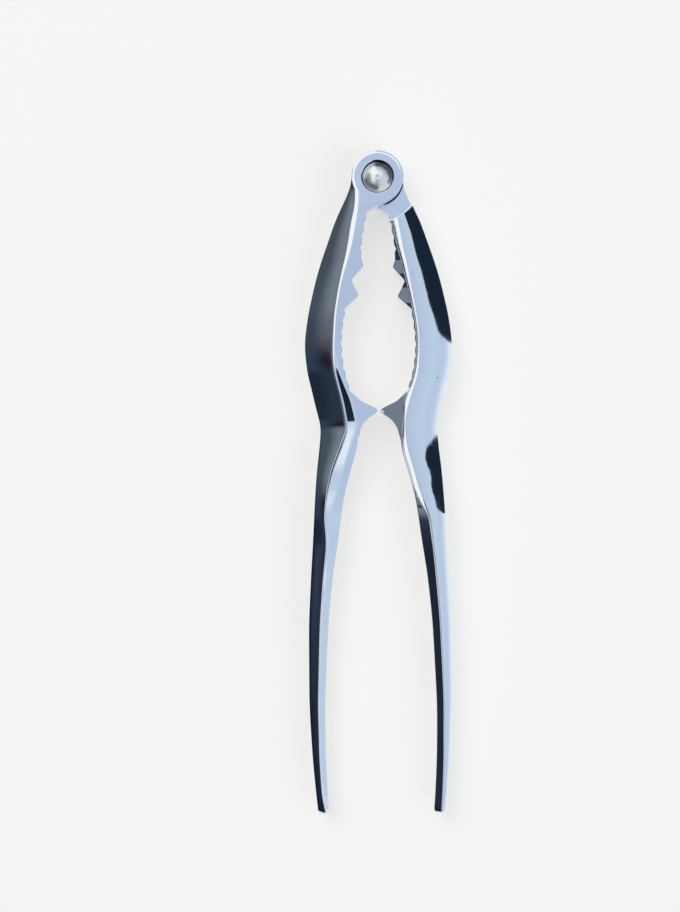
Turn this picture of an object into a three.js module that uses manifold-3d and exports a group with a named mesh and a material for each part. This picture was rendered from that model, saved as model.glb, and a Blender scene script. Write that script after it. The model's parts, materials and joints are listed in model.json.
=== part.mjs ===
// Lever nutcracker press: two like castings, one turned over, joined at their eyes by one rivet.
// Millimetres. X runs across the jaws, Y from the handle tips up to the eye, Z up from the table.
// The press lies closed on its back, and the origin is under the middle of its outline.

import * as THREE from 'three';
import { mergeVertices } from 'three/addons/utils/BufferGeometryUtils.js';
import Module from 'manifold-3d';

const wasm = await Module();
wasm.setup();

// Lever
const jawReach = 68.4; // pivot axis to the stop nose
const gripReach = 119; // stop nose to the handle tip
const jawHalfWidth = 21.7; // centre line to the widest point of the jaws
const barWidth = 10.3; // one lever's own width beside the nut space
const depth = 14; // front face to back face
const ridgeLand = 0.5; // usual width of the narrow strip on top of each long ridge
const landLimitShare = 0.85; // most that the strip takes of the way from ridge to crease
const landTilt = THREE.MathUtils.degToRad(10); // front strip falls outwards, back strip inwards
const tipRound = 1.6; // rounded end of a handle
const tipDrawnShare = 0.42; // how much of the section is left at the very end

// Jaw edge
const scallopHeight = 0.45;
const scallopFullShare = 0.8; // 1 is a plain arch, less is a fuller one
const mainToothHeight = 3.4;
const toothRound = 0.5; // how far to each side a tooth's corner is rounded
const stopGap = 0.3; // between the two stop noses
const upperScallops = 3;
const lowerScallops = 7;

// Eye and lap joint
const eyeRadius = 7.6;
const eyeChamfer = 0.3;
const eyeSides = 64;
const neckAngle = THREE.MathUtils.degToRad(27); // slope of the neck's straight inner edge
const shoulderRadius = 13.3; // round seat that the other lever's eye turns in
const lapGap = 0.3; // between the two eyes
const cutOverrun = 1;

// Rivet
const shankRadius = 2.7;
const headRadius = 4.4;
const headEdge = 0.8; // height of the head's rim
const headCrown = 1.3; // rise of the dome over the rim
const headDrop = 0.4; // dome's top below the eye's face
const dimpleRadius = 0.5;
const dimpleDepth = 0.25;
const rivetGap = 0.3; // all round, in the bore and in the recess
const headSteps = 6;

// Each place along a lever is 0 at the pivot, 1 at the stop nose and 2 at the handle tip.
// Outline: place, outer edge from the eye's radius (0) to the jaw's half width (1), share of bar width.
const outlineShares = [
  [0, 0, 0.49],
  [0.03, 0.007, 0.52],
  [0.06, 0.058, 0.58],
  [0.1, 0.142, 0.67],
  [0.14, 0.243, 0.765],
  [0.19, 0.35, 0.82],
  [0.25, 0.457, 0.892],
  [0.3, 0.544, 0.968],
  [0.35, 0.63, 1.018],
  [0.44, 0.762, 1.023],
  [0.5, 0.832, 1.01],
  [0.6, 0.935, 1.003],
  [0.72, 1, 1.017],
  [0.82, 0.96, 1.025],
  [0.92, 0.853, 1.063],
  [1, 0.761, 1.066],
  [1.044, 0.68, 1.07],
  [1.09, 0.708, 1.073],
  [1.15, 0.765, 0.96],
  [1.22, 0.808, 0.824],
  [1.32, 0.855, 0.724],
  [1.42, 0.908, 0.626],
  [1.56, 0.957, 0.549],
  [1.7, 0.958, 0.473],
  [1.83, 0.912, 0.404],
  [1.94, 0.837, 0.35],
  [2, 0.783, 0.324],
];

// Ridge and crease lines: place, then shares of the bar's width out from its inner edge.
// Columns: front ridge, front crease, back ridge, back crease.
const lineShares = [
  [0, 0.95, 0.7, 0.5, 0.4],
  [0.067, 0.67, 0.47, 0.34, 0.2],
  [0.13, 0.5, 0.33, 0.22, 0.03],
  [0.19, 0.44, 0.25, 0.215, 0.035],
  [0.25, 0.393, 0.224, 0.2, 0.035],
  [0.34, 0.361, 0.246, 0.2, 0.08],
  [0.44, 0.327, 0.256, 0.14, 0.045],
  [0.58, 0.259, 0.196, 0.085, 0.02],
  [0.7, 0.211, 0.148, 0.07, 0.015],
  [0.8, 0.239, 0.125, 0.095, 0.015],
  [0.88, 0.25, 0.08, 0.12, 0.02],
  [0.914, 0.255, 0.07, 0.1, -0.03],
  [0.957, 0.25, 0, 0.08, -0.085],
  [0.98, 0.25, 0, 0.075, -0.05],
  [1.005, 0.27, 0.005, 0.07, 0.01],
  [1.044, 0.309, 0.03, 0.14, 0.06],
  [1.077, 0.433, 0.16, 0.15, 0.03],
  [1.121, 0.541, 0.217, 0.17, 0.01],
  [1.18, 0.618, 0.225, 0.185, 0.01],
  [1.22, 0.632, 0.326, 0.27, 0.08],
  [1.245, 0.63, 0.37, 0.375, 0.26],
  [1.265, 0.62, 0.415, 0.46, 0.39],
  [1.3, 0.53, 0.41, 0.47, 0.4],
  [1.34, 0.45, 0.36, 0.48, 0.41],
  [1.42, 0.445, 0.345, 0.465, 0.395],
  [1.54, 0.44, 0.37, 0.47, 0.4],
  [1.66, 0.445, 0.375, 0.505, 0.435],
  [1.77, 0.45, 0.38, 0.53, 0.46],
  [1.87, 0.49, 0.42, 0.61, 0.54],
  [1.95, 0.51, 0.44, 0.7, 0.62],
  [1.985, 0.39, 0.32, 0.74, 0.66],
  [2, 0.12, 0.06, 0.78, 0.7],
];

// Heights from the middle plane, as shares of half the depth: place, ridges, front crease, back crease.
const heightShares = [
  [0, 1, 1, 0.4],
  [0.13, 1, 1, 0.4],
  [0.7, 1, 1, 0.4],
  [0.76, 1, 0.97, 0.4],
  [0.8, 1, 0.93, 0.4],
  [0.85, 1, 0.875, 0.41],
  [0.9, 1, 0.84, 0.42],
  [0.95, 1, 0.79, 0.45],
  [1, 1, 0.745, 0.48],
  [1.044, 1, 0.685, 0.52],
  [1.083, 1, 0.74, 0.56],
  [1.12, 1, 0.69, 0.6],
  [1.2, 1, 0.7, 0.7],
  [1.265, 0.96, 0.81, 0.81],
  [1.31, 0.91, 0.85, 0.85],
  [1.42, 0.77, 0.72, 0.72],
  [1.56, 0.63, 0.59, 0.59],
  [1.7, 0.54, 0.505, 0.505],
  [1.83, 0.47, 0.44, 0.44],
  [2, 0.38, 0.35, 0.35],
];

// How far each face drops for its width: place, front outer face, back outer face, front web, back web.
const dropShares = [
  [0, 0.6, 0.5, 0, 0],
  [0.13, 0.6, 0.5, 0, 0],
  [0.25, 0.6, 0.5, 0, 0.4],
  [0.5, 0.6, 0.5, 0.05, 0.4],
  [0.88, 0.6, 0.5, 0.05, 0.4],
  [1, 0.6, 0.5, 0.05, 0.3],
  [1.12, 0.62, 0.5, 0.05, 0.28],
  [1.2, 0.65, 0.52, 0.12, 0.28],
  [1.265, 0.67, 0.6, 0.45, 0.45],
  [1.31, 0.68, 0.66, 0.65, 0.65],
  [1.42, 0.7, 0.69, 0.72, 0.72],
  [2, 0.7, 0.69, 0.72, 0.72],
];

// How steep an outer face is at the outer edge, in mean slopes: 1 is flat, more is crowned. Front, then back.
const crownShares = [
  [0, 1.25, 1.8],
  [1.2, 1.25, 1.75],
  [1.31, 1.28, 1.3],
  [2, 1.28, 1.3],
];

// The narrow strip on top of each ridge, as shares of its usual width and tilt.
// Columns: place, front width, back width, front tilt, back tilt.
const landShares = [
  [0, 2.8, 2.8, 1, 1],
  [0.27, 2.8, 2.8, 1, 1],
  [0.34, 2.1, 2.2, 1, 1],
  [0.44, 1.3, 2, 1, 1],
  [0.5, 1.1, 1.6, 1, 1],
  [0.6, 1, 1.3, 1, 1],
  [0.75, 1, 1.3, 1, 1],
  [0.8, 0.8, 2.4, 0.5, 1],
  [0.88, 0.7, 2.6, 0.3, 1],
  [0.957, 0.7, 3.6, 0.3, 1],
  [1.005, 0.7, 1.3, 0.3, 1],
  [1.036, 0.8, 0.8, 0, 1],
  [1.083, 2, 2.2, 0, 1],
  [1.12, 1.8, 3.6, 0, 1],
  [1.17, 1.4, 4, 0, 1],
  [1.22, 0.8, 3, 0, 0.6],
  [1.265, 0.6, 0.8, 0, 0],
  [2, 0.6, 0.6, 0, 0],
];

// Main teeth: place and share of the main tooth's height.
const toothShares = [
  [0.303, 0],
  [0.32, 0.2],
  [0.35, 0.29],
  [0.382, 0.69],
  [0.442, 0],
  [0.509, 1],
  [0.568, 0],
];

// Stop: place and share of the way from the bar's inner edge to the nose.
const stopShares = [
  [0.911, 0],
  [0.958, 0.342],
  [0.99, 0.9],
  [1, 1],
  [1.008, 0.872],
  [1.019, 0.559],
  [1.03, 0.336],
  [1.044, 0.148],
  [1.074, 0],
];

// Where the jaw edge's runs meet, and where the handle has taken its own form.
const neckEndShare = 0.15;
const upperEndShare = toothShares[0][0];
const lowerStartShare = toothShares.at(-1)[0];
const lowerEndShare = stopShares[0][0];
const gripStartShare = 1.3;

// Steps of the lever's skin: along each run, and across its faces.
const neckSteps = 8;
const scallopSteps = 5;
const toothSteps = 3;
const stopSteps = 2;
const gripSteps = 12;
const facetSteps = 4;
const crownSteps = 5;
const tipSteps = 4;
const roundingShares = [-1, -0.5, 0, 0.5, 1];

const alongLever = (place) => Math.min(place, 1) * jawReach + Math.max(place - 1, 0) * gripReach;

// Straight runs between a table's rows.
function straight(table, column, place) {
  const next = table.findIndex((row) => row[0] >= place);
  if (next <= 0) return table.at(next)[column];
  const [before, after] = [table[next - 1], table[next]];
  const share = (place - before[0]) / (after[0] - before[0]);
  return THREE.MathUtils.lerp(before[column], after[column], share);
}

// A smooth curve through a table's rows.
function smooth(table, column, place) {
  const next = table.findIndex((row) => row[0] >= place);
  if (next <= 0) return table.at(next)[column];
  const rise = (index) => {
    const [low, high] = [table[index], table[index + 1]];
    return (high[column] - low[column]) / (high[0] - low[0]);
  };
  const slope = (index) => {
    if (index === 0 || index === table.length - 1) return rise(Math.max(index - 1, 0));
    const [low, high] = [rise(index - 1), rise(index)];
    return low * high > 0 ? (2 * low * high) / (low + high) : 0;
  };
  const [before, after] = [table[next - 1], table[next]];
  const span = after[0] - before[0];
  const t = (place - before[0]) / span;
  const start = before[column] * (1 + 2 * t) * (1 - t) ** 2 + slope(next - 1) * span * t * (1 - t) ** 2;
  const end = after[column] * (3 - 2 * t) * t ** 2 - slope(next) * span * (1 - t) * t ** 2;
  return start + end;
}

// Straight runs with their corners rounded over a length along the jaw.
function rounded(table, place) {
  const reach = toothRound / jawReach;
  const heights = roundingShares.map((share) => straight(table, 1, place + share * reach));
  return heights.reduce((sum, height) => sum + height, 0) / heights.length;
}

// Round-topped scallops with sharp valleys between two places.
function scallops(place, start, end, count) {
  if (place <= start || place >= end) return 0;
  const arch = Math.abs(Math.sin(((place - start) / (end - start)) * count * Math.PI));
  return scallopHeight * arch ** scallopFullShare;
}

// The jaw's own edge, measured out from the centre line.
function jawEdge(place, inner) {
  const neck = (alongLever(place) * Math.cos(neckAngle) - eyeRadius) / Math.sin(neckAngle);
  const neckStart = -eyeRadius * Math.sin(neckAngle);
  const upper = scallops(place, neckEndShare, upperEndShare, upperScallops);
  const lower = scallops(place, lowerStartShare, lowerEndShare, lowerScallops);
  const toothed = inner - upper - lower - mainToothHeight * rounded(toothShares, place);
  const edge = THREE.MathUtils.lerp(toothed, stopGap / 2, straight(stopShares, 1, place));
  return Math.min(edge, Math.max(neck, neckStart));
}

// Points of an outer face from its ridge to the lever's outer edge, steeper and steeper.
function outerFace(ridge, top, outer, side, crown, steps) {
  return Array.from({ length: steps }, (_, step) => {
    const share = Math.sin((((step + 1) / steps) * Math.PI) / 2);
    const fallen = (2 - crown) * share + (crown - 1) * share ** 2;
    return [THREE.MathUtils.lerp(ridge, outer, share), top - (top - side) * fallen];
  });
}

// One closed section of the lever, as [distance out, height] pairs from the front inner edge round.
function section(place) {
  const outer = eyeRadius + (jawHalfWidth - eyeRadius) * smooth(outlineShares, 1, place);
  const bar = barWidth * smooth(outlineShares, 2, place);
  const inner = outer - bar;
  const edge = jawEdge(place, inner);
  const out = (column) => inner + bar * smooth(lineShares, column, place);
  const height = (column) => (depth / 2) * smooth(heightShares, column, place);
  const drop = (column, width) => width * smooth(dropShares, column, place);
  const [top, frontCrease, backCrease] = [height(1), height(2), height(3)];
  const wide = (column) => ridgeLand * smooth(landShares, column, place);
  const strip = (column, room) => Math.min(wide(column), landLimitShare * room);
  const fall = (column, width) => width * Math.tan(landTilt) * smooth(landShares, column, place);
  const land = strip(1, out(1) - out(2));
  const backLand = strip(2, out(3) - out(4));
  const frontTop = top - fall(3, land);
  const frontSide = frontTop - drop(1, outer - out(1));
  const backSide = top - drop(2, outer - out(3));
  const frontEdge = frontCrease - drop(3, out(2) - edge);
  const backEdge = backCrease - drop(4, out(4) - edge);
  const front = outerFace(out(1), frontTop, outer, frontSide, smooth(crownShares, 1, place), facetSteps);
  const back = outerFace(out(3), top, outer, backSide, smooth(crownShares, 2, place), crownSteps);
  return [
    [edge, frontEdge],
    [out(2), frontCrease],
    [out(1) - land, top],
    [out(1), frontTop],
    ...front,
    ...back.reverse().map(([across, up]) => [across, -up]),
    [out(3), -top],
    [out(3) - backLand, fall(4, backLand) - top],
    [out(4), -backCrease],
    [edge, -backEdge],
  ];
}

// Places of the lever's sections, closer together where the jaw edge turns.
function stations(tipPlace) {
  const steps = (table, count) => table.slice(0, -1).map(([place]) => [place, count]);
  const runs = [
    [0, neckSteps],
    [neckEndShare, upperScallops * scallopSteps],
    ...steps(toothShares, toothSteps),
    [lowerStartShare, lowerScallops * scallopSteps],
    ...steps(stopShares, stopSteps),
    [stopShares.at(-1)[0], gripSteps],
    [gripStartShare, gripSteps],
  ];
  return runs.flatMap(([start, count], run) => {
    const end = run + 1 < runs.length ? runs[run + 1][0] : tipPlace;
    return Array.from({ length: count }, (_, step) => THREE.MathUtils.lerp(start, end, step / count));
  });
}

// Sections from the eye to the tip, drawn in at the rounded end.
function leverRings() {
  const ring = (points, along) => points.map(([across, up]) => new THREE.Vector3(-across, -along, up));
  const tipPlace = 2 - tipRound / gripReach;
  const rings = stations(tipPlace).map((place) => ring(section(place), alongLever(place)));
  for (let step = 0; step <= tipSteps; step += 1) {
    const turn = ((step / tipSteps) * Math.PI) / 2;
    const place = tipPlace + (Math.sin(turn) * tipRound) / gripReach;
    const points = section(place);
    const middle = (points[0][0] + points[3 + facetSteps][0]) / 2;
    const drawn = THREE.MathUtils.lerp(tipDrawnShare, 1, Math.cos(turn));
    const tip = points.map(([across, height]) => [middle + (across - middle) * drawn, height * drawn]);
    rings.push(ring(tip, alongLever(place)));
  }
  return rings;
}

// A closed skin over rings of equal point counts.
function loft(rings) {
  const count = rings[0].length;
  const index = [];
  for (let ring = 0; ring + 1 < rings.length; ring += 1) {
    for (let point = 0; point < count; point += 1) {
      const a = ring * count + point;
      const b = ring * count + ((point + 1) % count);
      index.push(a, b, b + count, a, b + count, a + count);
    }
  }
  const capOf = (ring) => THREE.ShapeUtils.triangulateShape(ring.map((p) => new THREE.Vector2(p.x, p.z)), []);
  const last = (rings.length - 1) * count;
  capOf(rings[0]).forEach(([a, b, c]) => index.push(a, c, b));
  capOf(rings.at(-1)).forEach(([a, b, c]) => index.push(last + a, last + b, last + c));
  const geometry = new THREE.BufferGeometry();
  const positions = rings.flat().flatMap((point) => point.toArray());
  geometry.setAttribute('position', new THREE.Float32BufferAttribute(positions, 3));
  geometry.setIndex(index);
  return geometry;
}

function toSolid(geometry) {
  geometry.deleteAttribute('normal');
  geometry.deleteAttribute('uv');
  const merged = mergeVertices(geometry);
  const vertProperties = new Float32Array(merged.attributes.position.array);
  const triVerts = new Uint32Array(merged.index.array);
  return new wasm.Manifold(new wasm.Mesh({ numProp: 3, vertProperties, triVerts }));
}

function toGeometry(solid) {
  const mesh = solid.getMesh();
  const geometry = new THREE.BufferGeometry();
  geometry.setAttribute('position', new THREE.BufferAttribute(new Float32Array(mesh.vertProperties), 3));
  geometry.setIndex(new THREE.BufferAttribute(new Uint32Array(mesh.triVerts), 1));
  geometry.computeVertexNormals();
  return geometry;
}

// A round body about the pivot axis, from [radius, height] pairs that start and end on the axis.
function turned(profile, sides) {
  const points = profile.map(([radius, height]) => new THREE.Vector2(radius, height));
  return new THREE.LatheGeometry(points, sides).rotateX(Math.PI / 2);
}

const top = depth / 2;
const lapFace = lapGap / 2;
const underHead = top - headDrop - headCrown - headEdge;
const recessFloor = underHead - rivetGap;

function leverGeometry() {
  const eye = turned([[0, lapFace], [eyeRadius, lapFace], [eyeRadius, top - eyeChamfer],
    [eyeRadius - eyeChamfer, top], [0, top]], eyeSides);
  const lapSeat = turned([[0, -top - cutOverrun], [shoulderRadius, -top - cutOverrun],
    [shoulderRadius, lapFace], [0, lapFace]], eyeSides);
  const bore = shankRadius + rivetGap;
  const recess = headRadius + rivetGap;
  const hole = turned([[0, -top], [bore, -top], [bore, recessFloor], [recess, recessFloor],
    [recess, top + cutOverrun], [0, top + cutOverrun]], eyeSides);
  const body = toSolid(loft(leverRings())).subtract(toSolid(lapSeat));
  return toGeometry(body.add(toSolid(eye)).subtract(toSolid(hole)));
}

// One end of the rivet's outline, from the axis out over the dome and in under the head.
function headProfile() {
  const crown = Array.from({ length: headSteps + 1 }, (_, step) => {
    const share = step / headSteps;
    const radius = THREE.MathUtils.lerp(dimpleRadius, headRadius, share);
    return [radius, top - headDrop - headCrown * share ** 2];
  });
  return [[0, top - headDrop - dimpleDepth], ...crown, [headRadius, underHead], [shankRadius, underHead]];
}

function rivetGeometry() {
  const front = headProfile();
  const back = front.map(([radius, height]) => [radius, -height]);
  return toGeometry(toSolid(turned([...back, ...front.reverse()], eyeSides)));
}

const chrome = () => new THREE.MeshStandardMaterial({ color: 0xc9d3e0, metalness: 1, roughness: 0.08 });
const satinSteel = new THREE.MeshStandardMaterial({ color: 0xc8c2b8, metalness: 1, roughness: 0.35 });

function named(name, geometry, material) {
  const mesh = new THREE.Mesh(geometry, material);
  mesh.name = name;
  return mesh;
}

const nutcracker = new THREE.Group();
const leftLever = named('left_lever', leverGeometry(), chrome());
const rightLever = named('right_lever', leverGeometry(), chrome());
rightLever.rotation.y = Math.PI;
nutcracker.add(leftLever, rightLever, named('pivot_rivet', rivetGeometry(), satinSteel));
nutcracker.position.set(0, (jawReach + gripReach - eyeRadius) / 2, top);

export default nutcracker;
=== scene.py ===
"""The looks of the lever nutcracker press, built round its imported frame.

Metres, in the frame's own axes: X across the jaws, Y up to the eye, Z up from the table.
"""

import json
import math

import bpy
import numpy as np
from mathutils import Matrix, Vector


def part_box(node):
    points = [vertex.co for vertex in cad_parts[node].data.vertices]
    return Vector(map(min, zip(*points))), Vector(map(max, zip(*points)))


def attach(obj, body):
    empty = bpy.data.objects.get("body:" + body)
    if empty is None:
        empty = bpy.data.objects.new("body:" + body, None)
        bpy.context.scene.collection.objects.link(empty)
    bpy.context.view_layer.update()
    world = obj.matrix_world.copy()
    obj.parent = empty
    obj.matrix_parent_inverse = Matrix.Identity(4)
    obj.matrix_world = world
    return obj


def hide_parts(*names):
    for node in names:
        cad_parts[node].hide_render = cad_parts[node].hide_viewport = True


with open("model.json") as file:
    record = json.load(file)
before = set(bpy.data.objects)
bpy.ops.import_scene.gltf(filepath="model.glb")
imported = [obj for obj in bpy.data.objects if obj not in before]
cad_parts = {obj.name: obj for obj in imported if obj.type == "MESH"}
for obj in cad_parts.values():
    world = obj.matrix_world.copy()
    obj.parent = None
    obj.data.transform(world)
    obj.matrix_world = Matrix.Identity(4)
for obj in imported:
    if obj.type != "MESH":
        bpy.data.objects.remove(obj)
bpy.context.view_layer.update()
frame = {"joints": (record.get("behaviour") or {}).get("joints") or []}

MM = 0.001

# Sizes that the frame gives
left_low, left_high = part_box("left_lever")
pivot = Vector(frame["joints"][0]["pos_m"])
DEPTH = left_high.z - left_low.z
JAW_HALF_WIDTH = -left_low.x
EYE_RADIUS = left_high.x
REACH = pivot.y - left_low.y

# Lever
JAW_REACH = 68.4 * MM
GRIP_REACH = REACH - JAW_REACH
BAR_WIDTH = 10.3 * MM
RIDGE_LAND = 0.5 * MM
LAND_LIMIT_SHARE = 0.85
LAND_TILT = math.radians(10)
TIP_ROUND = 1.6 * MM
TIP_DRAWN_SHARE = 0.42
TIP_STEPS = 9

# Jaw edge
SCALLOP_HEIGHT = 0.45 * MM
SCALLOP_FULLNESS = 0.8
MAIN_TOOTH_HEIGHT = 3.4 * MM
STOP_GAP = 0.3 * MM
UPPER_SCALLOPS = 3
LOWER_SCALLOPS = 7

# Eye and lap joint
EYE_BEVEL = 0.75 * MM
EYE_ROUND = 0.12 * MM
EYE_ROUND_ARC = 80
NECK_ANGLE = math.radians(27)
SHOULDER_RADIUS = 13.3 * MM
SHOULDER_ROUND = 0.8 * MM
LAP_GAP = 0.3 * MM
OVERRUN = 1 * MM
TURN_SIDES = 192

# Rivet
SHANK_RADIUS = 2.7 * MM
HEAD_RADIUS = 4.4 * MM
RECESS_RADIUS = 4.7 * MM
RECESS_LIP = 0.15 * MM
HEAD_EDGE = 0.8 * MM
HEAD_CROWN = 1.3 * MM
DOME_FULLNESS = 2
DOME_STEPS = 15
HEAD_DROP = 0.4 * MM
HEAD_ROUND = 0.25 * MM
HEAD_ROUND_ARC = 60
DIMPLE_RADIUS = 0.45 * MM
DIMPLE_DEPTH = 0.22 * MM
DIMPLE_FLANK_RADIUS = 0.55 * DIMPLE_RADIUS
DIMPLE_FLANK_DEPTH = 0.7 * DIMPLE_DEPTH
RIVET_GAP = 0.3 * MM

# Heights from the middle plane, where the two eyes meet
TOP = DEPTH / 2
LAP_FACE = LAP_GAP / 2
HEAD_TOP = TOP - HEAD_DROP
UNDER_HEAD = HEAD_TOP - HEAD_CROWN - HEAD_EDGE
RECESS_FLOOR = UNDER_HEAD - RIVET_GAP

# Rounding of the lever's long edges
EDGE_ROUND = 0.28 * MM
FRONT_FILLET = 0.5 * MM
BACK_FILLET = 0.3 * MM
RIDGE_ROUND = 0.12 * MM
SIDE_ROUND = 0.6 * MM
CORNER_LIMIT_SHARE = 0.45
CORNER_STEPS = 4
STATION_STEP = 0.3 * MM
LINE_BLUR = 1.5 * MM
TOOTH_BLUR = 0.22 * MM
BLUR_WIDTHS = 3
FACE_STEPS = 14

# Shading: angles from which an edge stays sharp, in degrees, and the weight given to large faces
LEVER_SHARP = 32
RIVET_SHARP = 40
NORMAL_WEIGHT = 80

# Plating: colour, roughness and its haze, long waves and fine ripples
PLATING = (0.82, 0.84, 0.87)
PLATING_ROUGHNESS = (0.03, 0.1)
PLATING_HAZE_SCALE = 900
PLATING_HAZE_DETAIL = 4
WAVE_SCALE = 160
WAVE_DETAIL = 1
WAVE_STRENGTH = 0.35
WAVE_HEIGHT = 0.05 * MM
RIPPLE_SCALE = 800
RIPPLE_DETAIL = 2
RIPPLE_STRENGTH = 0.4
RIPPLE_HEIGHT = 0.012 * MM

# Marks on the plating: painted shade in the seam between the eyes and on the recess's floor, and dark
# casting pits
PIT_AND_PAINTED_SHADE_DARK = (0.05, 0.06, 0.08)
SEAM_WIDTH = 0.3 * MM
SEAM_HEIGHT = 0.25 * MM
PAINTED_SHADE_REACH = 0.02 * MM
PIT_CELLS = 700
PIT_CHANCE = 0.022
PIT_SHARE = 0.16

# Rivet steel: colour, roughness and its haze, and the turned rings
STEEL = (0.97, 0.93, 0.87)
STEEL_ROUGHNESS = (0.24, 0.36)
STEEL_HAZE_SCALE = 1400
STEEL_HAZE_DETAIL = 3
RING_SCALE = 1.2 / MM
RING_DISTORTION = 1.5
RING_DETAIL = 2
RING_DETAIL_SCALE = 0.4
RING_STRENGTH = 0.25
RING_HEIGHT = 0.012 * MM

# A place along a lever is 0 at the pivot, 1 at the stop nose and 2 at the handle tip.
# Outline: place, outer edge from the eye's radius (0) to the jaw's half width (1), share of bar width.
OUTLINE_SHARES = np.array([
    [0, 0, 0.49],
    [0.03, 0.007, 0.52],
    [0.06, 0.058, 0.58],
    [0.1, 0.142, 0.67],
    [0.14, 0.243, 0.765],
    [0.19, 0.35, 0.82],
    [0.25, 0.457, 0.892],
    [0.3, 0.544, 0.968],
    [0.35, 0.63, 1.018],
    [0.44, 0.762, 1.023],
    [0.5, 0.832, 1.01],
    [0.6, 0.935, 1.003],
    [0.72, 1, 1.017],
    [0.82, 0.96, 1.025],
    [0.92, 0.853, 1.063],
    [1, 0.761, 1.066],
    [1.044, 0.68, 1.07],
    [1.09, 0.708, 1.073],
    [1.15, 0.765, 0.96],
    [1.22, 0.808, 0.824],
    [1.32, 0.855, 0.724],
    [1.42, 0.908, 0.626],
    [1.56, 0.957, 0.549],
    [1.7, 0.958, 0.473],
    [1.83, 0.912, 0.404],
    [1.94, 0.837, 0.35],
    [2, 0.783, 0.324],
])

# Ridge and crease lines: place, then shares of the bar's width out from its inner edge.
# Columns: front ridge, front crease, back ridge, back crease.
LINE_SHARES = np.array([
    [0, 0.95, 0.7, 0.5, 0.4],
    [0.067, 0.67, 0.47, 0.34, 0.2],
    [0.13, 0.5, 0.33, 0.22, 0.03],
    [0.19, 0.44, 0.25, 0.215, 0.035],
    [0.25, 0.393, 0.224, 0.2, 0.035],
    [0.34, 0.361, 0.246, 0.2, 0.08],
    [0.44, 0.327, 0.256, 0.14, 0.045],
    [0.58, 0.259, 0.196, 0.085, 0.02],
    [0.7, 0.211, 0.148, 0.07, 0.015],
    [0.8, 0.239, 0.125, 0.095, 0.015],
    [0.88, 0.25, 0.08, 0.12, 0.02],
    [0.914, 0.255, 0.07, 0.1, -0.03],
    [0.957, 0.25, 0, 0.08, -0.085],
    [0.98, 0.25, 0, 0.075, -0.05],
    [1.005, 0.27, 0.005, 0.07, 0.01],
    [1.044, 0.309, 0.03, 0.14, 0.06],
    [1.077, 0.433, 0.16, 0.15, 0.03],
    [1.121, 0.541, 0.217, 0.17, 0.01],
    [1.18, 0.618, 0.225, 0.185, 0.01],
    [1.22, 0.632, 0.326, 0.27, 0.08],
    [1.245, 0.63, 0.37, 0.375, 0.26],
    [1.265, 0.62, 0.415, 0.46, 0.39],
    [1.3, 0.53, 0.41, 0.47, 0.4],
    [1.34, 0.45, 0.36, 0.48, 0.41],
    [1.42, 0.445, 0.345, 0.465, 0.395],
    [1.54, 0.44, 0.37, 0.47, 0.4],
    [1.66, 0.445, 0.375, 0.505, 0.435],
    [1.77, 0.45, 0.38, 0.53, 0.46],
    [1.87, 0.49, 0.42, 0.61, 0.54],
    [1.95, 0.51, 0.44, 0.7, 0.62],
    [1.985, 0.39, 0.32, 0.74, 0.66],
    [2, 0.12, 0.06, 0.78, 0.7],
])

# Heights from the middle plane, as shares of half the depth: place, ridges, front crease, back crease.
HEIGHT_SHARES = np.array([
    [0, 1, 1, 0.4],
    [0.13, 1, 1, 0.4],
    [0.7, 1, 1, 0.4],
    [0.76, 1, 0.97, 0.4],
    [0.8, 1, 0.93, 0.4],
    [0.85, 1, 0.875, 0.41],
    [0.9, 1, 0.84, 0.42],
    [0.95, 1, 0.79, 0.45],
    [1, 1, 0.745, 0.48],
    [1.044, 1, 0.685, 0.52],
    [1.083, 1, 0.74, 0.56],
    [1.12, 1, 0.69, 0.6],
    [1.2, 1, 0.7, 0.7],
    [1.265, 0.96, 0.81, 0.81],
    [1.31, 0.91, 0.85, 0.85],
    [1.42, 0.77, 0.72, 0.72],
    [1.56, 0.63, 0.59, 0.59],
    [1.7, 0.54, 0.505, 0.505],
    [1.83, 0.47, 0.44, 0.44],
    [2, 0.38, 0.35, 0.35],
])

# How far each face drops for its width: place, front outer face, back outer face, front web, back web.
DROP_SHARES = np.array([
    [0, 0.6, 0.5, 0, 0],
    [0.13, 0.6, 0.5, 0, 0],
    [0.25, 0.6, 0.5, 0, 0.4],
    [0.5, 0.6, 0.5, 0.05, 0.4],
    [0.88, 0.6, 0.5, 0.05, 0.4],
    [1, 0.6, 0.5, 0.05, 0.3],
    [1.12, 0.62, 0.5, 0.05, 0.28],
    [1.2, 0.65, 0.52, 0.12, 0.28],
    [1.265, 0.67, 0.6, 0.45, 0.45],
    [1.31, 0.68, 0.66, 0.65, 0.65],
    [1.42, 0.7, 0.69, 0.72, 0.72],
    [2, 0.7, 0.69, 0.72, 0.72],
])

# How steep an outer face is at the outer edge, in mean slopes: 1 is flat, more is crowned. Front, then back.
CROWN_SHARES = np.array([
    [0, 1.25, 1.8],
    [1.2, 1.25, 1.75],
    [1.31, 1.28, 1.3],
    [2, 1.28, 1.3],
])

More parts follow.
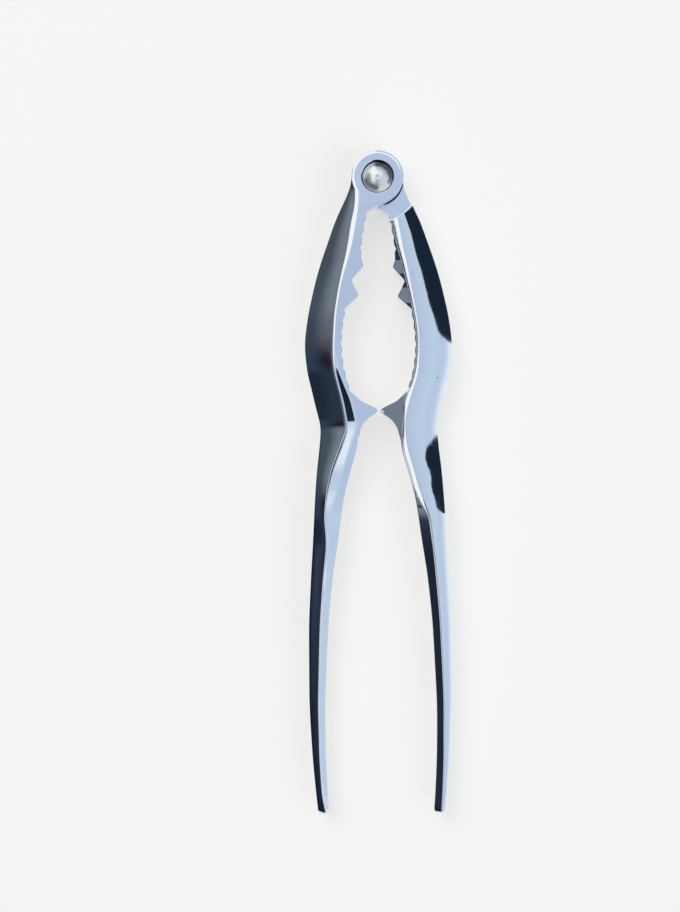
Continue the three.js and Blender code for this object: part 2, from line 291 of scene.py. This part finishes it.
# The narrow strip on top of each ridge, as shares of its usual width and tilt.
# Columns: place, front width, back width, front tilt, back tilt.
LAND_SHARES = np.array([
    [0, 2.8, 2.8, 1, 1],
    [0.27, 2.8, 2.8, 1, 1],
    [0.34, 2.1, 2.2, 1, 1],
    [0.44, 1.3, 2, 1, 1],
    [0.5, 1.1, 1.6, 1, 1],
    [0.6, 1, 1.3, 1, 1],
    [0.75, 1, 1.3, 1, 1],
    [0.8, 0.8, 2.4, 0.5, 1],
    [0.88, 0.7, 2.6, 0.3, 1],
    [0.957, 0.7, 3.6, 0.3, 1],
    [1.005, 0.7, 1.3, 0.3, 1],
    [1.036, 0.8, 0.8, 0, 1],
    [1.083, 2, 2.2, 0, 1],
    [1.12, 1.8, 3.6, 0, 1],
    [1.17, 1.4, 4, 0, 1],
    [1.22, 0.8, 3, 0, 0.6],
    [1.265, 0.6, 0.8, 0, 0],
    [2, 0.6, 0.6, 0, 0],
])

# Main teeth: place and share of the main tooth's height.
TOOTH_SHARES = np.array([
    [0.303, 0],
    [0.32, 0.2],
    [0.35, 0.29],
    [0.382, 0.69],
    [0.442, 0],
    [0.509, 1],
    [0.568, 0],
])

# Stop: place and share of the way from the bar's inner edge to the nose.
STOP_SHARES = np.array([
    [0.911, 0],
    [0.958, 0.342],
    [0.99, 0.9],
    [1, 1],
    [1.008, 0.872],
    [1.019, 0.559],
    [1.03, 0.336],
    [1.044, 0.148],
    [1.074, 0],
])

# Where the scallops start and end
NECK_END_SHARE = 0.15
UPPER_END_SHARE = TOOTH_SHARES[0, 0]
LOWER_START_SHARE = TOOTH_SHARES[-1, 0]
LOWER_END_SHARE = STOP_SHARES[0, 0]

# Floor: its side, colour, roughness, and how far it glows where it is seen
FLOOR_SIDE = 6
FLOOR_COLOUR = (0.95, 0.9, 0.8)
FLOOR_ROUGHNESS = 0.9
FLOOR_GLOW_SHARE = 0.6

# Lamps: name, energy, place and side
LAMPS = [
    ("key", 6, (-0.5, 0.5, 1.2), 0.8),
    ("fill", 3, (0.7, -0.4, 1.0), 0.9),
]

# Camera: height over the pivot, roll, scale at the pivot and the frame's middle from the pivot
CAMERA_DISTANCE = 600 * MM
CAMERA_ROLL = math.radians(0.41)
PIXELS_PER_METRE = 3381
FRAME_PIXELS = 912
FRAME_RIGHT = 10.97 * MM
FRAME_BELOW = 81.79 * MM
SENSOR_SIDE = 36


def grey(value):
    return (value, value, value)


# The light comes from colours by direction. A direction's height is 0 at the horizon and 1 overhead.
# Its turn is in degrees from +X towards +Y.

# Light dome, by height
DOME = [
    (0.0, (1.0, 1.05, 1.1)),
    (0.14, (0.85, 0.93, 1.04)),
    (0.25, (0.6, 0.71, 0.88)),
    (0.4, (0.56, 0.68, 0.87)),
    (0.6, (0.59, 0.735, 0.87)),
    (0.85, (0.56, 0.67, 0.84)),
    (0.96, (0.53, 0.635, 0.82)),
    (1.0, (0.5, 0.6, 0.79)),
]

# White panel from between +X and +Y round past -X: its turns, then its foot and its top as heights
PANEL = (1.05, 1.08, 1.12)
PANEL_TURNS = [
    (-180, grey(1)),
    (-125, grey(1)),
    (-110, grey(0)),
    (35, grey(0)),
    (50, grey(1)),
    (180, grey(1)),
]
PANEL_FEET = [
    (-180, grey(0.88)),
    (90, grey(0.88)),
    (98, grey(0.45)),
    (140, grey(0.45)),
    (149, grey(0.88)),
    (180, grey(0.88)),
]
PANEL_TOP = [(0.98, grey(1)), (0.99, grey(0))]

# Dark bar close to overhead: its middle across, then its edges across and along, as leans of a direction
BAR = (0.03, 0.035, 0.06)
BAR_MIDDLE = -0.03
BAR_ACROSS = [(0.075, grey(1)), (0.095, grey(0))]
BAR_ALONG = [(0.01, grey(1)), (0.05, grey(0))]

# Dark flags on all sides but between -65 and 4 degrees: their tops as heights
FLAG_TOPS = [
    (-180, grey(0.86)),
    (-150, grey(0.86)),
    (-130, grey(0.84)),
    (-85, grey(0.84)),
    (-65, grey(0)),
    (4, grey(0)),
    (5.5, grey(0.18)),
    (6.5, grey(0.21)),
    (7.5, grey(0.42)),
    (12, grey(0.52)),
    (16, grey(0.6)),
    (20, grey(0.64)),
    (60, grey(0.6)),
    (90, grey(0.6)),
    (98, grey(0.3)),
    (140, grey(0.3)),
    (149, grey(0.86)),
    (180, grey(0.86)),
]
FLAG_BLUR = 0.03

# The flags' colours by turn, in four layers from the foot up, and the heights where each next layer comes in
FOOT_LAYER = [
    (-180, (0.008, 0.012, 0.028)),
    (-90, (0.010, 0.016, 0.03)),
    (0, (0.010, 0.020, 0.038)),
    (120, (0.010, 0.020, 0.038)),
    (180, (0.008, 0.012, 0.028)),
]
LOW_LAYER = [
    (-180, (0.03, 0.05, 0.085)),
    (-175, (0.035, 0.05, 0.085)),
    (-171, (0.018, 0.026, 0.042)),
    (-164, (0.014, 0.022, 0.038)),
    (-150, (0.012, 0.018, 0.03)),
    (0, (0.010, 0.020, 0.036)),
    (110, (0.010, 0.020, 0.036)),
    (150, (0.068, 0.09, 0.117)),
    (168, (0.068, 0.09, 0.117)),
    (174, (0.045, 0.065, 0.09)),
    (180, (0.03, 0.05, 0.085)),
]
HIGH_LAYER = [
    (-180, (0.014, 0.012, 0.024)),
    (-176, (0.02, 0.03, 0.045)),
    (-172, (0.025, 0.04, 0.065)),
    (-160, (0.025, 0.04, 0.065)),
    (-90, (0.012, 0.018, 0.03)),
    (90, (0.010, 0.020, 0.034)),
    (130, (0.2, 0.232, 0.265)),
    (166, (0.2, 0.232, 0.265)),
    (172.5, (0.13, 0.15, 0.175)),
    (175, (0.085, 0.08, 0.1)),
    (177, (0.035, 0.025, 0.038)),
    (180, (0.014, 0.012, 0.024)),
]
HEAD_LAYER = [
    (-180, (0.205, 0.24, 0.3)),
    (-150, (0.205, 0.24, 0.3)),
    (-120, (0.012, 0.018, 0.03)),
    (120, (0.010, 0.020, 0.034)),
    (150, (0.19, 0.225, 0.28)),
    (171, (0.19, 0.225, 0.28)),
    (178, (0.205, 0.24, 0.3)),
]
LOW_START = [(0.12, grey(0)), (0.26, grey(1))]
HIGH_START = [(0.36, grey(0)), (0.54, grey(1))]
HEAD_START = [(0.63, grey(0)), (0.69, grey(1))]

# Ragged edges of panel and flags: how far they stray in turn and in height, and the noise that moves them
TURN_STRAY = 0.006
HEIGHT_STRAY = 0.03
STRAY_SCALE = 25
STRAY_DETAIL = 4


def place_of(along):
    return np.where(along < JAW_REACH, along / JAW_REACH, 1 + (along - JAW_REACH) / GRIP_REACH)


def smooth(table, column, places):
    """A smooth curve through a table's rows that never swings past them."""
    x, y = table[:, 0], table[:, column]
    rise = np.diff(y) / np.diff(x)
    before, after = rise[:-1], rise[1:]
    same = before * after > 0
    inside = np.where(same, 2 * before * after / np.where(same, before + after, 1), 0)
    slope = np.concatenate([rise[:1], inside, rise[-1:]])
    row = np.clip(np.searchsorted(x, places, side="right") - 1, 0, len(x) - 2)
    span = x[row + 1] - x[row]
    t = np.clip((places - x[row]) / span, 0, 1)
    start = y[row] * (1 + 2 * t) * (1 - t) ** 2 + slope[row] * span * t * (1 - t) ** 2
    end = y[row + 1] * (3 - 2 * t) * t ** 2 - slope[row + 1] * span * (1 - t) * t ** 2
    return start + end


def blurred(values, reach):
    """Softens values at even stations over a length along the lever."""
    spread = max(int(BLUR_WIDTHS * reach / STATION_STEP), 1)
    steps = np.arange(-spread, spread + 1)
    weights = np.exp(-0.5 * (steps * STATION_STEP / reach) ** 2)
    padded = np.concatenate([
        2 * values[0] - values[spread:0:-1],
        values,
        2 * values[-1] - values[-2:-spread - 2:-1],
    ])
    return np.convolve(padded, weights / weights.sum(), mode="valid")


def scallops(places, start, end, count):
    wave = np.abs(np.sin((places - start) / (end - start) * count * math.pi)) ** SCALLOP_FULLNESS
    return np.where((places > start) & (places < end), SCALLOP_HEIGHT * wave, 0)


def jaw_edge(along, places, inner):
    """The toothed edge, measured out from the centre line."""
    neck = (along * math.cos(NECK_ANGLE) - EYE_RADIUS) / math.sin(NECK_ANGLE)
    upper = scallops(places, NECK_END_SHARE, UPPER_END_SHARE, UPPER_SCALLOPS)
    lower = scallops(places, LOWER_START_SHARE, LOWER_END_SHARE, LOWER_SCALLOPS)
    main = MAIN_TOOTH_HEIGHT * np.interp(places, TOOTH_SHARES[:, 0], TOOTH_SHARES[:, 1])
    toothed = inner - upper - lower - main
    stop = np.interp(places, STOP_SHARES[:, 0], STOP_SHARES[:, 1])
    edge = toothed + (STOP_GAP / 2 - toothed) * stop
    edge = np.maximum(blurred(edge, TOOTH_BLUR), STOP_GAP / 2)
    return np.minimum(edge, np.maximum(neck, -EYE_RADIUS * math.sin(NECK_ANGLE)))


def outer_face(ridge, top, outer, side, crown):
    """Points of an outer face from just past its ridge to just short of its outer edge."""
    share = np.sin(np.arange(1, FACE_STEPS) / FACE_STEPS * math.pi / 2)
    across = ridge[:, None] + (outer - ridge)[:, None] * share
    fallen = (2 - crown)[:, None] * share + (crown - 1)[:, None] * share ** 2
    height = top[:, None] - (top - side)[:, None] * fallen
    return np.stack([across, height], axis=2)


def corner(across, height):
    """One corner of every section."""
    return np.stack([across, height], axis=1)[:, None]


def corners_rounded(points, radii):
    """Rounds each corner of closed sections by its radius. Points are (section, corner, 2)."""
    rounded = []
    count = points.shape[1]
    for at in range(count):
        here = points[:, at]
        if not radii[at]:
            rounded.append(here[:, None])
            continue
        before = points[:, at - 1] - here
        after = points[:, (at + 1) % count] - here
        reach_before = np.linalg.norm(before, axis=1, keepdims=True)
        reach_after = np.linalg.norm(after, axis=1, keepdims=True)
        back_off = np.minimum(radii[at], CORNER_LIMIT_SHARE * np.minimum(reach_before, reach_after))
        start = here + before / reach_before * back_off
        end = here + after / reach_after * back_off
        t = np.linspace(0, 1, CORNER_STEPS)[None, :, None]
        bend = start[:, None] * (1 - t) ** 2 + 2 * here[:, None] * t * (1 - t) + end[:, None] * t ** 2
        rounded.append(bend)
    return np.concatenate(rounded, axis=1)


def lever_sections(along):
    """Closed sections across the lever, as (station, point, [distance out, height])."""
    places = place_of(along)

    def line(table, column):
        return blurred(smooth(table, column, places), LINE_BLUR)

    def strip(column, room):
        return np.minimum(RIDGE_LAND * line(LAND_SHARES, column), LAND_LIMIT_SHARE * room)

    def fall(column, width):
        return width * math.tan(LAND_TILT) * line(LAND_SHARES, column)

    outer = EYE_RADIUS + (JAW_HALF_WIDTH - EYE_RADIUS) * line(OUTLINE_SHARES, 1)
    bar = BAR_WIDTH * line(OUTLINE_SHARES, 2)
    inner = outer - bar
    edge = jaw_edge(along, places, inner)
    ridge, crease, back_ridge, back_crease = [inner + bar * line(LINE_SHARES, n) for n in (1, 2, 3, 4)]
    top, crease_top, back_crease_top = [TOP * np.minimum(line(HEIGHT_SHARES, n), 1) for n in (1, 2, 3)]
    drop, back_drop, web_drop, back_web_drop = [line(DROP_SHARES, n) for n in (1, 2, 3, 4)]
    land = strip(1, ridge - crease)
    back_land = strip(2, back_ridge - back_crease)
    ridge_top = top - fall(3, land)
    side = ridge_top - drop * (outer - ridge)
    back_side = top - back_drop * (outer - back_ridge)
    web = crease_top - web_drop * (crease - edge)
    back_web = back_crease_top - back_web_drop * (back_crease - edge)
    front_face = outer_face(ridge, ridge_top, outer, side, line(CROWN_SHARES, 1))
    back_face = outer_face(back_ridge, top, outer, back_side, line(CROWN_SHARES, 2))
    parts = [
        (corner(edge, web), EDGE_ROUND),
        (corner(crease, crease_top), FRONT_FILLET),
        (corner(ridge - land, top), RIDGE_ROUND),
        (corner(ridge, ridge_top), RIDGE_ROUND),
        (front_face, 0),
        (corner(outer, side), SIDE_ROUND),
        (corner(outer, -back_side), SIDE_ROUND),
        (back_face[:, ::-1] * [1, -1], 0),
        (corner(back_ridge, -top), RIDGE_ROUND),
        (corner(back_ridge - back_land, fall(4, back_land) - top), RIDGE_ROUND),
        (corner(back_crease, -back_crease_top), BACK_FILLET),
        (corner(edge, -back_web), EDGE_ROUND),
    ]
    radii = [radius for points, radius in parts for _ in range(points.shape[1])]
    return corners_rounded(np.concatenate([points for points, _ in parts], axis=1), radii)


def lever_rings():
    """Rings of points about the pivot, the last of them drawn in to round the handle's tip."""
    along = np.arange(0, REACH - TIP_ROUND, STATION_STEP)
    turns = np.linspace(0, math.pi / 2, TIP_STEPS)
    tip = REACH - TIP_ROUND + TIP_ROUND * np.sin(turns)
    straight = lever_sections(along)
    sections = np.concatenate([straight, np.repeat(straight[-1:], len(tip), axis=0)])
    drawn = TIP_DRAWN_SHARE + (1 - TIP_DRAWN_SHARE) * np.cos(turns)
    end = straight[-1]
    middle = np.array([(end[:, 0].min() + end[:, 0].max()) / 2, 0])
    sections[len(along):] = middle + (end - middle) * drawn[:, None, None]
    stations = np.concatenate([along, tip])
    rings = np.empty(sections.shape[:2] + (3,))
    rings[..., 0] = -sections[..., 0]
    rings[..., 1] = -stations[:, None]
    rings[..., 2] = sections[..., 1]
    return rings


def mesh_of(name, points, faces):
    mesh = bpy.data.meshes.new(name)
    mesh.from_pydata([tuple(p) for p in points], [], faces)
    mesh.validate()
    piece = bpy.data.objects.new(name, mesh)
    bpy.context.scene.collection.objects.link(piece)
    return piece


def lofted(name, rings):
    count, around = rings.shape[:2]
    faces = []
    for ring in range(count - 1):
        low, high = ring * around, (ring + 1) * around
        for point in range(around):
            after = (point + 1) % around
            faces.append((low + point, low + after, high + after, high + point))
    faces.append(tuple(range(around))[::-1])
    faces.append(tuple(range((count - 1) * around, count * around)))
    return mesh_of(name, rings.reshape(-1, 3), faces)


def turned(name, profile):
    """A round body about the pivot axis, from (radius, height) pairs that start and end on the axis."""
    points = [(0, 0, profile[0][1])]
    faces = []
    for radius, height in profile[1:-1]:
        for side in range(TURN_SIDES):
            angle = 2 * math.pi * side / TURN_SIDES
            points.append((radius * math.cos(angle), radius * math.sin(angle), height))
    points.append((0, 0, profile[-1][1]))
    last = len(points) - 1
    for side in range(TURN_SIDES):
        after = (side + 1) % TURN_SIDES
        faces.append((0, 1 + after, 1 + side))
        faces.append((last, last - TURN_SIDES + side, last - TURN_SIDES + after))
        for ring in range(len(profile) - 3):
            low, high = 1 + ring * TURN_SIDES, 1 + (ring + 1) * TURN_SIDES
            faces.append((low + side, low + after, high + after, high + side))
    return mesh_of(name, points, faces)


def arc(centre, radius, start, end, steps=6):
    """Profile points on an arc, with angles in degrees."""
    turns = np.radians(np.linspace(start, end, steps))
    return [(centre[0] + radius * math.cos(t), centre[1] + radius * math.sin(t)) for t in turns]


def cut(piece, tool, operation):
    modifier = piece.modifiers.new(operation.lower(), "BOOLEAN")
    modifier.operation = operation
    modifier.solver = "MANIFOLD"
    modifier.object = tool
    graph = bpy.context.evaluated_depsgraph_get()
    made = bpy.data.meshes.new_from_object(piece.evaluated_get(graph))
    piece.modifiers.clear()
    made.materials.clear()
    piece.data = made
    bpy.data.objects.remove(tool)


def finish_shading(piece, sharp_degrees):
    mesh = piece.data
    mesh.polygons.foreach_set("use_smooth", [True] * len(mesh.polygons))
    mesh.set_sharp_from_angle(angle=math.radians(sharp_degrees))
    weighted = piece.modifiers.new("face_weighted", "WEIGHTED_NORMAL")
    weighted.keep_sharp = True
    weighted.weight = NORMAL_WEIGHT


def lever(name, turned_over):
    """The loft less the other eye's seat, joined to its own eye and bored for the rivet."""
    piece = lofted(name, lever_rings())
    shoulder = arc((SHOULDER_RADIUS - SHOULDER_ROUND, LAP_FACE - SHOULDER_ROUND), SHOULDER_ROUND, 0, 90)
    seat = [(0, -TOP - OVERRUN), (SHOULDER_RADIUS, -TOP - OVERRUN), *shoulder, (0, LAP_FACE)]
    cut(piece, turned("seat", seat), "DIFFERENCE")
    rim = TOP - EYE_BEVEL * math.tan(LAND_TILT)
    rim_round = arc((EYE_RADIUS - EYE_ROUND, rim - EYE_ROUND), EYE_ROUND, 0, EYE_ROUND_ARC)
    flat = EYE_RADIUS - EYE_BEVEL
    eye = [(0, LAP_FACE), (EYE_RADIUS, LAP_FACE), *rim_round, (flat, TOP), (flat - EYE_ROUND, TOP), (0, TOP)]
    cut(piece, turned("eye", eye), "UNION")
    bore = SHANK_RADIUS + RIVET_GAP
    mouth = RECESS_RADIUS + RECESS_LIP
    hole = [
        (0, -TOP),
        (bore, -TOP),
        (bore, RECESS_FLOOR),
        (RECESS_RADIUS, RECESS_FLOOR),
        (RECESS_RADIUS, TOP - RECESS_LIP),
        (mouth, TOP),
        (mouth, TOP + OVERRUN),
        (0, TOP + OVERRUN),
    ]
    cut(piece, turned("hole", hole), "DIFFERENCE")
    side = -1 if turned_over else 1
    for vertex in piece.data.vertices:
        x, y, z = vertex.co
        vertex.co = (x * side, y + pivot.y, z * side + pivot.z)
    finish_shading(piece, LEVER_SHARP)
    return piece


def rivet(name):
    """The shank and both heads, turned about the pivot."""
    dome = []
    for share in np.linspace(0, 1, DOME_STEPS):
        radius = DIMPLE_RADIUS + (HEAD_RADIUS - HEAD_ROUND - DIMPLE_RADIUS) * share
        dome.append((radius, HEAD_TOP - HEAD_CROWN * share ** DOME_FULLNESS))
    rim = dome[-1][1]
    half = [
        (0, HEAD_TOP - DIMPLE_DEPTH),
        (DIMPLE_FLANK_RADIUS, HEAD_TOP - DIMPLE_FLANK_DEPTH),
        *dome,
        *arc((HEAD_RADIUS - HEAD_ROUND, rim - HEAD_ROUND), HEAD_ROUND, HEAD_ROUND_ARC, 0),
        (HEAD_RADIUS, UNDER_HEAD),
        (SHANK_RADIUS, UNDER_HEAD),
    ]
    back = [(radius, -height) for radius, height in half]
    piece = turned(name, back + half[::-1])
    for vertex in piece.data.vertices:
        vertex.co = vertex.co + pivot
    finish_shading(piece, RIVET_SHARP)
    return piece


def add(tree, kind, **settings):
    node = tree.nodes.new(kind)
    for key, value in settings.items():
        setattr(node, key, value)
    return node


def material(name):
    made = bpy.data.materials.new(name)
    made.use_nodes = True
    tree = made.node_tree
    return made, tree, tree.nodes["Principled BSDF"]


def maths(tree, operation, *values):
    """The result of a sum on values or other nodes' outputs."""
    node = add(tree, "ShaderNodeMath", operation=operation)
    for socket, value in zip(node.inputs, values):
        if isinstance(value, (int, float)):
            socket.default_value = value
        else:
            tree.links.new(value, socket)
    return node.outputs[0]


def above(tree, up, edge):
    """1 above an edge and 0 under it, with a soft step between."""
    step = maths(tree, "MULTIPLY_ADD", maths(tree, "SUBTRACT", up, edge), 1 / FLAG_BLUR, 0.5)
    step.node.use_clamp = True
    return step


def mixed(tree, factor, low, high):
    """Two colours mixed by a value."""
    node = add(tree, "ShaderNodeMix", data_type="RGBA")
    tree.links.new(factor, node.inputs["Factor"])
    for socket, colour in ((node.inputs[6], low), (node.inputs[7], high)):
        if isinstance(colour, tuple):
            socket.default_value = (*colour, 1)
        else:
            tree.links.new(colour, socket)
    return node.outputs[2]


def ramp(tree, source, stops):
    """A colour ramp over a value: stops are (position, (red, green, blue))."""
    node = add(tree, "ShaderNodeValToRGB")
    tree.links.new(source, node.inputs["Fac"])
    steps = node.color_ramp
    steps.elements[0].position = stops[0][0]
    steps.elements[0].color = (*stops[0][1], 1)
    steps.elements[1].position = stops[-1][0]
    steps.elements[1].color = (*stops[-1][1], 1)
    for position, colour in stops[1:-1]:
        steps.elements.new(position).color = (*colour, 1)
    return node.outputs["Color"]


def turn_ramp(tree, turn, rows):
    """A colour ramp round the horizon: rows are (degrees, colour), and turn runs from 0 to 1."""
    return ramp(tree, turn, [((degrees + 180) / 360, colour) for degrees, colour in rows])


def noise(tree, where, scale, detail):
    node = add(tree, "ShaderNodeTexNoise")
    node.inputs["Scale"].default_value = scale
    node.inputs["Detail"].default_value = detail
    tree.links.new(where, node.inputs["Vector"])
    return node.outputs["Fac"]


def bump(tree, height, strength, distance):
    node = add(tree, "ShaderNodeBump")
    node.inputs["Strength"].default_value = strength
    node.inputs["Distance"].default_value = distance
    tree.links.new(height, node.inputs["Height"])
    return node


def hazed(tree, shader, haze, roughness):
    """Roughness that wanders between two values with a noise."""
    rough = add(tree, "ShaderNodeMapRange")
    rough.inputs["To Min"].default_value = roughness[0]
    rough.inputs["To Max"].default_value = roughness[1]
    tree.links.new(haze, rough.inputs["Value"])
    tree.links.new(rough.outputs["Result"], shader.inputs["Roughness"])


def from_pivot(tree, where):
    """Places measured from the pivot, on the middle plane."""
    node = add(tree, "ShaderNodeVectorMath", operation="SUBTRACT")
    node.inputs[1].default_value = pivot
    tree.links.new(where, node.inputs[0])
    return node.outputs["Vector"]


def painted_joint_shade(tree, where):
    """Painted shade: 1 in the seam between the eyes and on the recess's floor, else 0."""
    split = add(tree, "ShaderNodeSeparateXYZ")
    tree.links.new(from_pivot(tree, where), split.inputs["Vector"])
    x, y, z = split.outputs
    squares = maths(tree, "ADD", maths(tree, "MULTIPLY", x, x), maths(tree, "MULTIPLY", y, y))
    radius = maths(tree, "SQRT", squares)
    height = maths(tree, "ABSOLUTE", z)
    near_eye = maths(tree, "LESS_THAN", radius, EYE_RADIUS + SEAM_WIDTH)
    in_seam = maths(tree, "MULTIPLY", near_eye, maths(tree, "LESS_THAN", height, SEAM_HEIGHT))
    near_head = maths(tree, "LESS_THAN", radius, RECESS_RADIUS + PAINTED_SHADE_REACH)
    in_recess = maths(tree, "MULTIPLY", near_head, maths(tree, "LESS_THAN", height, UNDER_HEAD))
    return maths(tree, "MAXIMUM", in_seam, in_recess)


def casting_pits(tree, where):
    """1 in a small spot at the middle of a few cells, else 0."""
    cells = add(tree, "ShaderNodeTexVoronoi")
    cells.inputs["Scale"].default_value = PIT_CELLS
    tree.links.new(where, cells.inputs["Vector"])
    chance = add(tree, "ShaderNodeSeparateColor")
    tree.links.new(cells.outputs["Color"], chance.inputs["Color"])
    few = maths(tree, "LESS_THAN", chance.outputs["Red"], PIT_CHANCE)
    return maths(tree, "MULTIPLY", few, maths(tree, "LESS_THAN", cells.outputs["Distance"], PIT_SHARE))


def chrome():
    """Bright plating on a polished casting: slightly wavy, with a few pits, and painted shade in the seam
    between the eyes and in the rivet's recess.
    """
    made, tree, shader = material("lever_chrome")
    where = add(tree, "ShaderNodeTexCoord").outputs["Object"]
    # The casting pits and the painted shade in the seam and the recess share one dark colour
    pits_and_painted_shade = maths(tree, "MAXIMUM", casting_pits(tree, where), painted_joint_shade(tree, where))
    tree.links.new(mixed(tree, pits_and_painted_shade, PLATING, PIT_AND_PAINTED_SHADE_DARK), shader.inputs["Base Color"])
    shader.inputs["Metallic"].default_value = 1
    waves = bump(tree, noise(tree, where, WAVE_SCALE, WAVE_DETAIL), WAVE_STRENGTH, WAVE_HEIGHT)
    ripples = bump(tree, noise(tree, where, RIPPLE_SCALE, RIPPLE_DETAIL), RIPPLE_STRENGTH, RIPPLE_HEIGHT)
    tree.links.new(waves.outputs["Normal"], ripples.inputs["Normal"])
    tree.links.new(ripples.outputs["Normal"], shader.inputs["Normal"])
    hazed(tree, shader, noise(tree, where, PLATING_HAZE_SCALE, PLATING_HAZE_DETAIL), PLATING_ROUGHNESS)
    return made


def satin_steel():
    """Rivet steel with fine turned rings round the pivot."""
    made, tree, shader = material("rivet_steel")
    shader.inputs["Base Color"].default_value = (*STEEL, 1)
    shader.inputs["Metallic"].default_value = 1
    where = add(tree, "ShaderNodeTexCoord").outputs["Object"]
    rings = add(tree, "ShaderNodeTexWave", wave_type="RINGS", rings_direction="Z")
    rings.inputs["Scale"].default_value = RING_SCALE
    rings.inputs["Distortion"].default_value = RING_DISTORTION
    rings.inputs["Detail"].default_value = RING_DETAIL
    rings.inputs["Detail Scale"].default_value = RING_DETAIL_SCALE
    tree.links.new(from_pivot(tree, where), rings.inputs["Vector"])
    grooves = bump(tree, rings.outputs["Fac"], RING_STRENGTH, RING_HEIGHT)
    tree.links.new(grooves.outputs["Normal"], shader.inputs["Normal"])
    hazed(tree, shader, noise(tree, where, STEEL_HAZE_SCALE, STEEL_HAZE_DETAIL), STEEL_ROUGHNESS)
    return made


def floor():
    """A pale floor that stays near white where it is seen and still takes the shadow."""
    bpy.ops.mesh.primitive_plane_add(size=FLOOR_SIDE, location=(0, 0, 0))
    ground = bpy.context.object
    ground.name = "floor"
    made, tree, shader = material("pale_floor")
    shader.inputs["Base Color"].default_value = (*FLOOR_COLOUR, 1)
    shader.inputs["Roughness"].default_value = FLOOR_ROUGHNESS
    glow = add(tree, "ShaderNodeEmission")
    path = add(tree, "ShaderNodeLightPath")
    seen = maths(tree, "MAXIMUM", path.outputs["Is Camera Ray"], path.outputs["Is Glossy Ray"])
    seen = maths(tree, "MAXIMUM", seen, path.outputs["Is Transmission Ray"])
    both = add(tree, "ShaderNodeMixShader")
    tree.links.new(maths(tree, "MULTIPLY", seen, FLOOR_GLOW_SHARE), both.inputs["Fac"])
    tree.links.new(shader.outputs["BSDF"], both.inputs[1])
    tree.links.new(glow.outputs["Emission"], both.inputs[2])
    tree.links.new(both.outputs["Shader"], tree.nodes["Material Output"].inputs["Surface"])
    ground.data.materials.append(made)


def studio():
    """A pale studio: light dome, white panel, dark bar overhead and dark flags round the rim."""
    world = bpy.data.worlds.new("studio")
    bpy.context.scene.world = world
    world.use_nodes = True
    tree = world.node_tree
    back = tree.nodes["Background"]
    where = add(tree, "ShaderNodeTexCoord").outputs["Generated"]
    split = add(tree, "ShaderNodeSeparateXYZ")
    tree.links.new(where, split.inputs["Vector"])
    across, along, up = split.outputs
    azimuth = maths(tree, "ARCTAN2", along, across)
    turn = maths(tree, "ADD", maths(tree, "DIVIDE", azimuth, 2 * math.pi), 0.5)
    stray = maths(tree, "SUBTRACT", noise(tree, where, STRAY_SCALE, STRAY_DETAIL), 0.5)
    turn = maths(tree, "MULTIPLY_ADD", stray, TURN_STRAY, turn)
    up = maths(tree, "MULTIPLY_ADD", stray, HEIGHT_STRAY, up)
    panel = maths(tree, "MULTIPLY", turn_ramp(tree, turn, PANEL_TURNS), ramp(tree, up, PANEL_TOP))
    panel = maths(tree, "MULTIPLY", panel, above(tree, up, turn_ramp(tree, turn, PANEL_FEET)))
    bar_side = ramp(tree, maths(tree, "ABSOLUTE", maths(tree, "SUBTRACT", across, BAR_MIDDLE)), BAR_ACROSS)
    bar_end = ramp(tree, maths(tree, "ADD", along, 0.5), [(0.5 + at, level) for at, level in BAR_ALONG])
    bar = maths(tree, "MULTIPLY", bar_side, bar_end)
    dome = mixed(tree, bar, mixed(tree, panel, ramp(tree, up, DOME), PANEL), BAR)
    flags = turn_ramp(tree, turn, FOOT_LAYER)
    for start, layer in ((LOW_START, LOW_LAYER), (HIGH_START, HIGH_LAYER), (HEAD_START, HEAD_LAYER)):
        flags = mixed(tree, ramp(tree, up, start), flags, turn_ramp(tree, turn, layer))
    clear = above(tree, up, turn_ramp(tree, turn, FLAG_TOPS))
    tree.links.new(mixed(tree, clear, flags, dome), back.inputs["Color"])
    back.inputs["Strength"].default_value = 1


def lamps():
    """Soft lamps for the floor and the press's shadow on it. They don't show in the plating."""
    for name, energy, place, side in LAMPS:
        data = bpy.data.lights.new(name, "AREA")
        data.energy = energy
        data.size = side
        lamp = bpy.data.objects.new(name, data)
        lamp.location = place
        lamp.rotation_euler = (-Vector(place)).to_track_quat("-Z", "Y").to_euler()
        lamp.visible_glossy = False
        bpy.context.scene.collection.objects.link(lamp)


def camera():
    """Straight above, as far off as the photograph's camera and turned as it was."""
    across = -FRAME_RIGHT * math.cos(CAMERA_ROLL) - FRAME_BELOW * math.sin(CAMERA_ROLL)
    up = FRAME_RIGHT * math.sin(CAMERA_ROLL) - FRAME_BELOW * math.cos(CAMERA_ROLL)
    data = bpy.data.cameras.new("photo_view")
    data.sensor_width = SENSOR_SIDE
    data.lens = PIXELS_PER_METRE * CAMERA_DISTANCE * SENSOR_SIDE / FRAME_PIXELS
    seen = bpy.data.objects.new("photo_view", data)
    seen.location = (across, pivot.y + up, pivot.z + CAMERA_DISTANCE)
    seen.rotation_euler = (0, 0, -CAMERA_ROLL)
    bpy.context.scene.collection.objects.link(seen)
    bpy.context.scene.camera = seen


camera()
plating = chrome()
steel = satin_steel()
for name, turned_over, body, node in (
    ("left_lever_cast", False, "left_arm", "left_lever"),
    ("right_lever_cast", True, "right_arm", "right_lever"),
):
    arm = lever(name, turned_over)
    arm.data.materials.append(plating)
    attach(arm, body)
    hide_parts(node)
head = rivet("spun_rivet")
head.data.materials.append(steel)
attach(head, "left_arm")
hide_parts("pivot_rivet")
floor()
studio()
lamps()
bpy.context.scene.view_settings.view_transform = "Standard"
